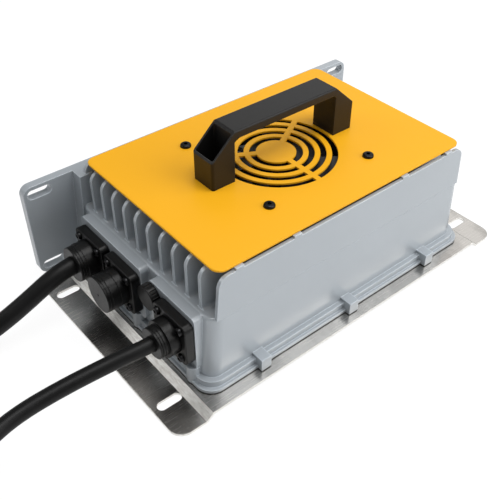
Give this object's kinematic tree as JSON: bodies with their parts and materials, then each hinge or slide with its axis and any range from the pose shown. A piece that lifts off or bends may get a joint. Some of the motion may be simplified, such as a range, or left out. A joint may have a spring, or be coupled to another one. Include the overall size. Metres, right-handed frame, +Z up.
{
  "type": "car battery charger",
  "caption": "Sealed car battery charger: finned cast casing on a slotted base plate, yellow cover with an air grille, carry handle, round connectors and two coiled cables.",
  "frame": {"origin": "centre of the base plate's outline, on the surface that it stands on", "axes": "+X along the length, away from the connectors; +Y towards the rear mounting flange; +Z up"},
  "size_m": [0.876, 0.216, 0.1585],
  "materials": {
    "stainless_sheet": "brushed, satin",
    "seal_rubber": "matt",
    "cast_aluminium": "fine cast, silver-grey coated",
    "yellow_cover": "satin powder coat",
    "black_screw": "black oxide",
    "zinc_steel": "zinc plated",
    "handle_plastic": "fine grain",
    "fan_plastic": "smooth moulded",
    "port_plastic": "smooth moulded",
    "cable_jacket": "smooth",
    "plug_plastic": "fine grain",
    "contact_brass": "bright",
    "board_green": "solder mask",
    "ferrite": "matt",
    "copper_winding": "enamelled",
    "capacitor_can": "sleeved",
    "film_box": "smooth",
    "fuse_glass": "clear",
    "clip_metal": "plated",
    "relay_plastic": "smooth",
    "terminal_green": "moulded",
    "transistor_black": "moulded",
    "sheet_grey": "matt",
    "wire_sleeve": "smooth"
  },
  "bodies": {
    "charger": {"base_plate": "stainless_sheet", "base_gasket": "seal_rubber", "base_screws": "zinc_steel", "main_casing": "cast_aluminium", "top_cover": "yellow_cover", "cover_screws": "black_screw", "handle": "handle_plastic", "handle_screws": "black_screw", "handle_nuts": "zinc_steel", "fan_frame": "fan_plastic", "fan_bearings": "zinc_steel", "fan_stator": "copper_winding", "fan_lead": "cable_jacket", "fan_grommet": "seal_rubber", "output_port_body": "port_plastic", "output_port_gasket": "seal_rubber", "output_gland_seal": "seal_rubber", "output_gland_nut": "port_plastic", "spare_socket": "port_plastic", "spare_socket_gasket": "seal_rubber", "spare_contacts": "contact_brass", "mains_port_body": "port_plastic", "mains_port_gasket": "seal_rubber", "mains_gland_seal": "seal_rubber", "mains_gland_nut": "port_plastic", "port_screws": "black_screw", "signal_socket": "port_plastic", "mains_lead": "cable_jacket", "mains_coil": "cable_jacket", "mains_tail": "cable_jacket", "mains_plug_body": "plug_plastic", "mains_plug_pins": "contact_brass", "output_lead": "cable_jacket", "output_coil": "cable_jacket", "output_tail": "cable_jacket", "output_plug_body": "plug_plastic", "output_plug_blades": "contact_brass", "circuit_board": "board_green", "board_screws": "zinc_steel", "transformer_core": "ferrite", "transformer_winding": "copper_winding", "choke_cores": "ferrite", "choke_windings": "copper_winding", "bulk_capacitors": "capacitor_can", "output_capacitors": "capacitor_can", "filter_capacitors": "film_box", "fuse_holder": "clip_metal", "fuse": "fuse_glass", "relay": "relay_plastic", "terminal_blocks": "terminal_green", "power_transistors": "transistor_black", "insulating_sheet": "sheet_grey", "clamp_bar": "zinc_steel", "clamp_screws": "zinc_steel", "inner_wires": "wire_sleeve"},
    "fan_rotor": {"fan_rotor": "fan_plastic", "fan_shaft": "zinc_steel"},
    "spare_cap": {"spare_cap": "port_plastic", "spare_cap_seal": "seal_rubber"},
    "signal_cap": {"signal_cap": "port_plastic"}
  },
  "joints": [
    {"name": "fan_spin", "type": "hinge", "parent": "charger", "child": "fan_rotor", "pos_m": [0, 0, 0.1], "axis": [0, 0, 1], "continuous": true},
    {"name": "spare_cap_off", "type": "slide", "parent": "charger", "child": "spare_cap", "axis": [-1, 0, 0], "range_m": [0, 0.025]},
    {"name": "signal_cap_off", "type": "slide", "parent": "charger", "child": "signal_cap", "axis": [-1, 0, 0], "range_m": [0, 0.015]}
  ]
}
